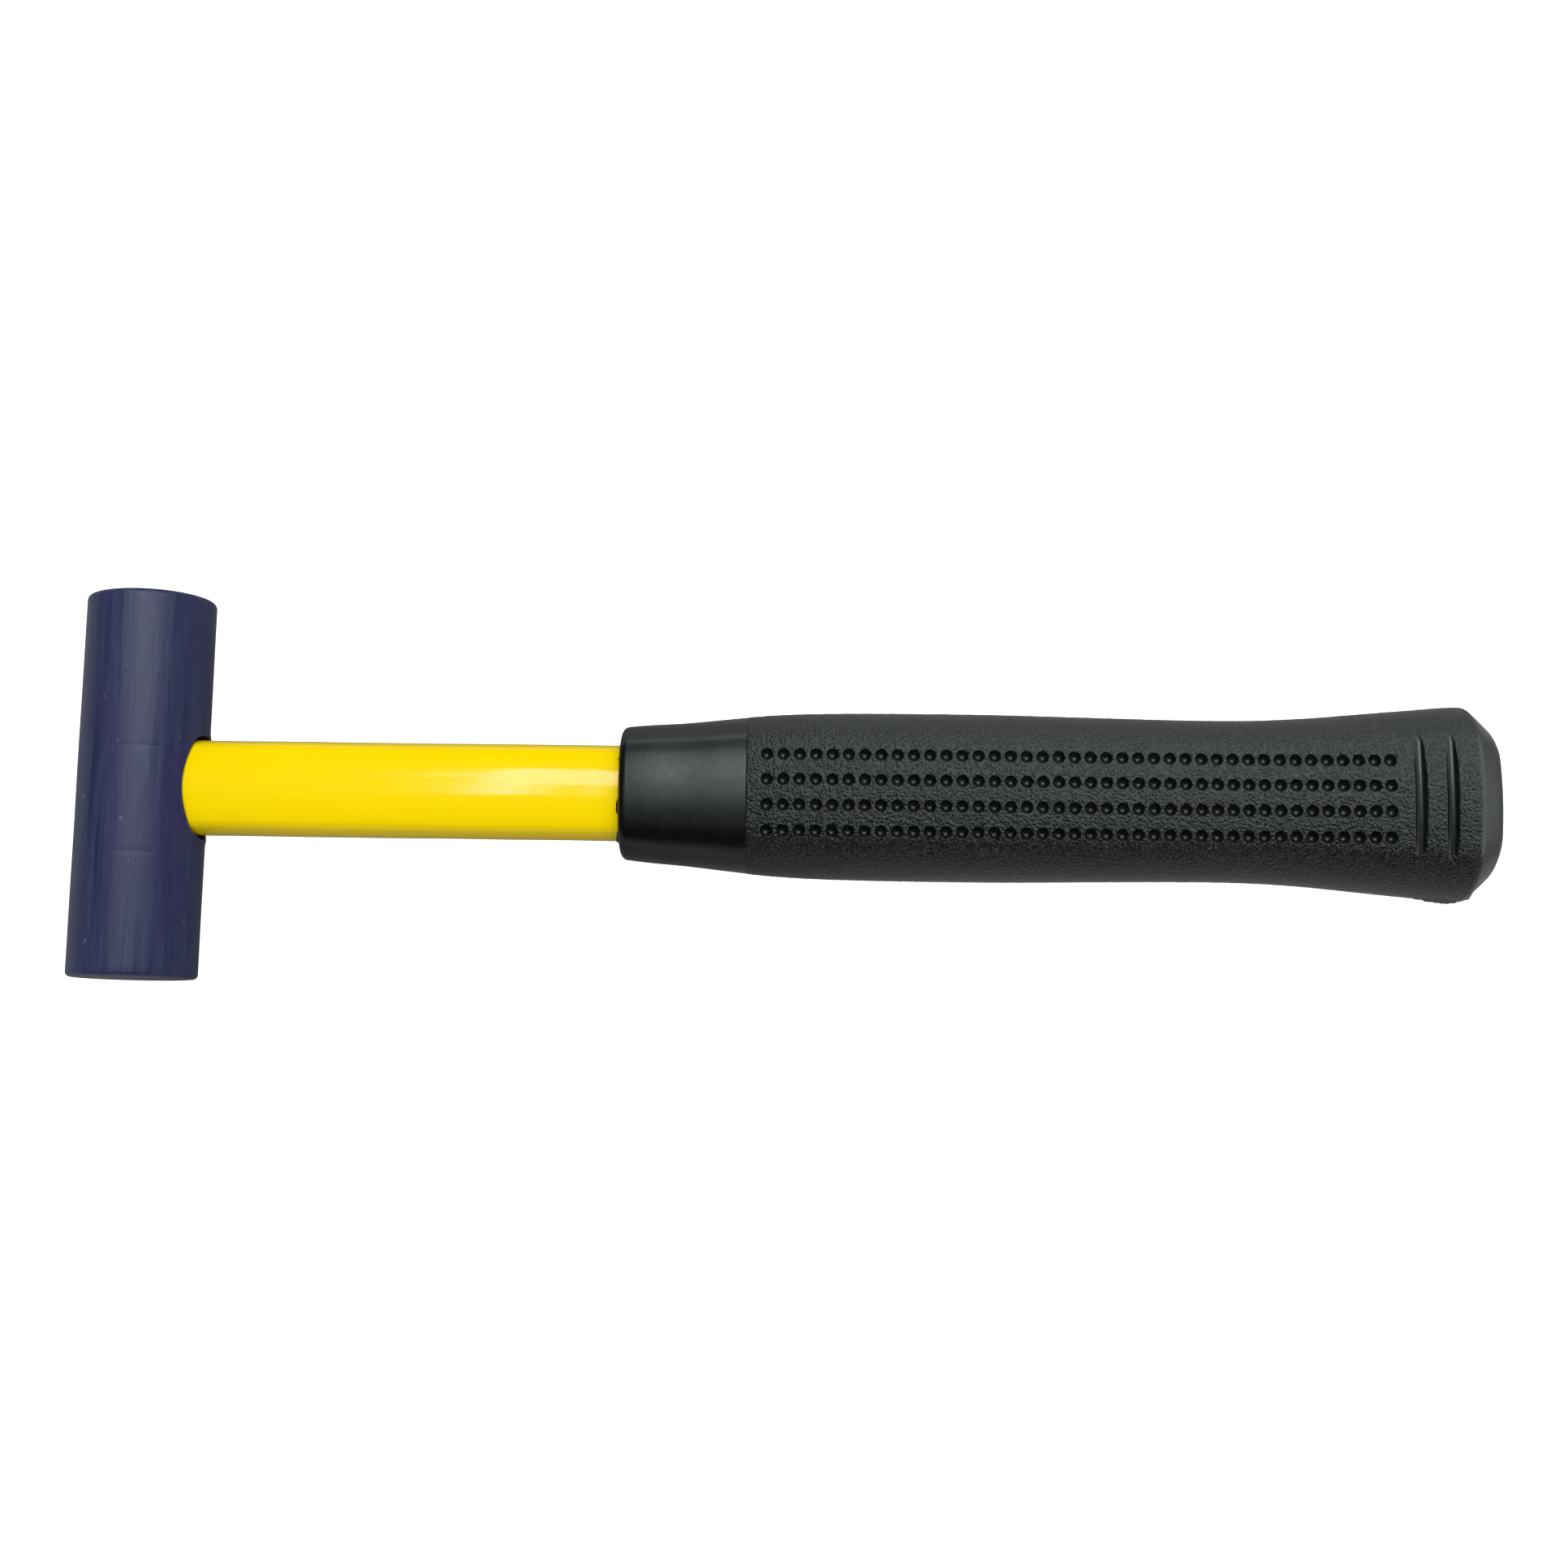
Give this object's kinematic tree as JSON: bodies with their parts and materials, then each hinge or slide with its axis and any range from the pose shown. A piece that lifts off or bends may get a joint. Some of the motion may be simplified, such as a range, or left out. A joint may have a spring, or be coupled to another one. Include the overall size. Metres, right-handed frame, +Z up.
{
  "type": "dead blow mallet",
  "caption": "Small dead blow mallet: round urethane head with sealed chambers of loose steel shot, oval fibreglass handle and a flared, dimpled rubber grip.",
  "frame": {"origin": "middle of the mallet's footprint as it lies on its side, at the height of its lowest point, under the flare of the grip", "axes": "+X along the handle from the head to the butt, +Y along the head's axis to the upper striking face, +Z up, out of the flat of the handle"},
  "size_m": [0.287, 0.0784, 0.0325],
  "materials": {
    "head_urethane": "cast urethane, smooth satin",
    "handle_yellow": "glossy moulded jacket",
    "fibreglass": "pultruded glass fibre in resin",
    "grip_rubber": "moulded rubber, leather grain, smooth collar and butt",
    "steel": "bare drawn steel",
    "shot_steel": "polished steel balls",
    "adhesive": "set epoxy"
  },
  "bodies": {
    "mallet": {"head_casing": "head_urethane", "upper_canister": "steel", "upper_canister_lid": "steel", "lower_canister": "steel", "lower_canister_lid": "steel", "handle_socket": "steel", "socket_adhesive": "adhesive", "lock_pin": "steel", "handle_core": "fibreglass", "handle_jacket": "handle_yellow", "grip_adhesive": "adhesive", "grip": "grip_rubber"},
    "upper_charge": {"upper_shot": "shot_steel"},
    "lower_charge": {"lower_shot": "shot_steel"}
  },
  "joints": [
    {"name": "upper_shot_slide", "type": "slide", "parent": "mallet", "child": "upper_charge", "axis": [0, 1, 0], "range_m": [0, 0.0042]},
    {"name": "lower_shot_slide", "type": "slide", "parent": "mallet", "child": "lower_charge", "axis": [0, -1, 0], "range_m": [0, 0.0042]}
  ]
}
